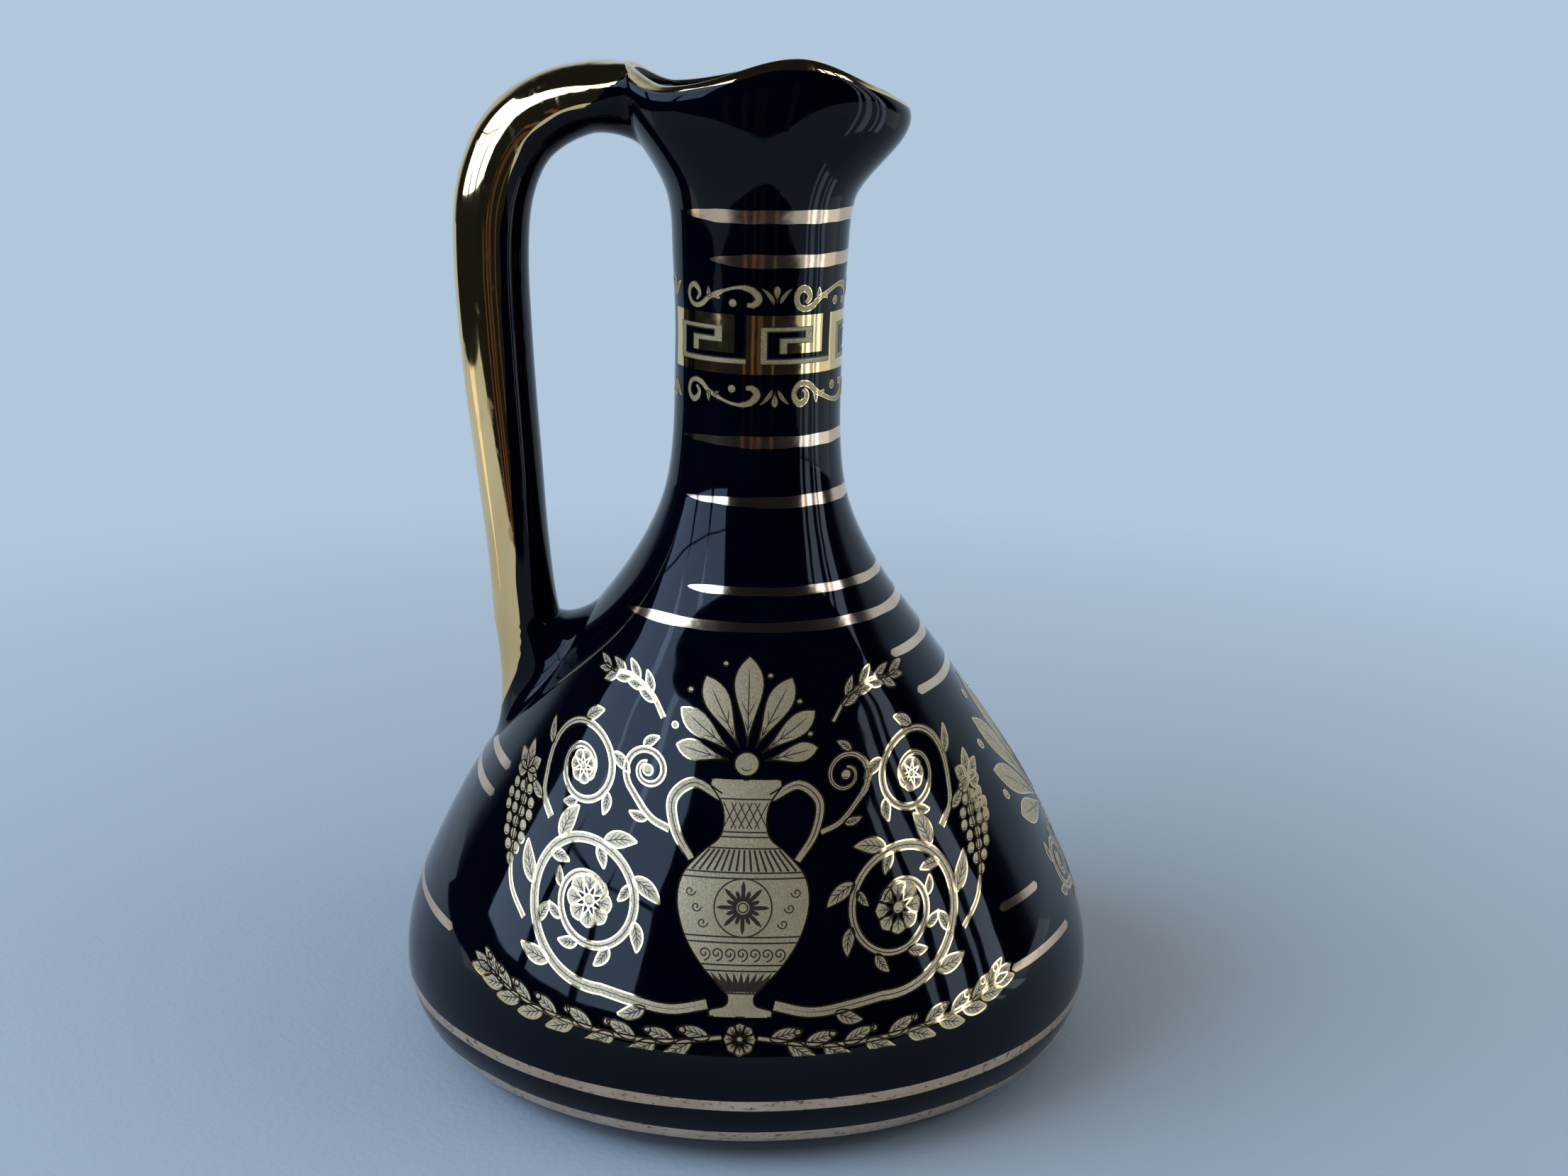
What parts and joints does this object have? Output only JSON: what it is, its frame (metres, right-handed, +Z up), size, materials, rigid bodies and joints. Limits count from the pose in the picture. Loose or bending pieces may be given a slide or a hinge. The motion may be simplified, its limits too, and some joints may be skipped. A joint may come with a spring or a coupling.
{
  "type": "jug",
  "caption": "Small black-glazed ceramic jug with a wide belly, slim neck, wavy pouring lip, tall ear handle and fired-on gold lines, key band and printed panels.",
  "frame": {"origin": "centre of the foot, on the surface the jug stands on", "axes": "+Z up along the belly's axis, +X towards the pouring end, the handle at -X"},
  "size_m": [0.1076, 0.1076, 0.1502],
  "materials": {
    "black_glaze": "glossy black glaze with a navy tint",
    "handle_glaze": "glossy black glaze with a navy tint",
    "bright_gold": "bright yellow fired gold, mirror-like",
    "line_gold": "brushed-on rose gold line",
    "print_gold": "printed gold, pale matt fill with bright edges"
  },
  "bodies": {
    "root": {"jug_body": "black_glaze", "handle": "handle_glaze", "lip_gilding": "bright_gold", "handle_gilding": "bright_gold", "neck_line_top": "line_gold", "neck_line_under_lip": "line_gold", "neck_line_above_root": "line_gold", "neck_line_root": "line_gold", "shoulder_line_upper": "line_gold", "shoulder_line_lower": "line_gold", "pouring_side_line_upper": "line_gold", "pouring_side_line_lower": "line_gold", "belly_line_front_upper": "line_gold", "belly_line_front_lower": "line_gold", "belly_line_rear_upper": "line_gold", "belly_line_rear_lower": "line_gold", "handle_side_line_upper": "line_gold", "handle_side_line_middle": "line_gold", "handle_side_line_lower": "line_gold", "base_line_upper": "line_gold", "base_line_lower": "line_gold", "side_panel_front": "print_gold", "side_panel_rear": "print_gold", "pouring_side_ornament": "print_gold", "greek_key_band": "print_gold"}
  },
  "joints": []
}
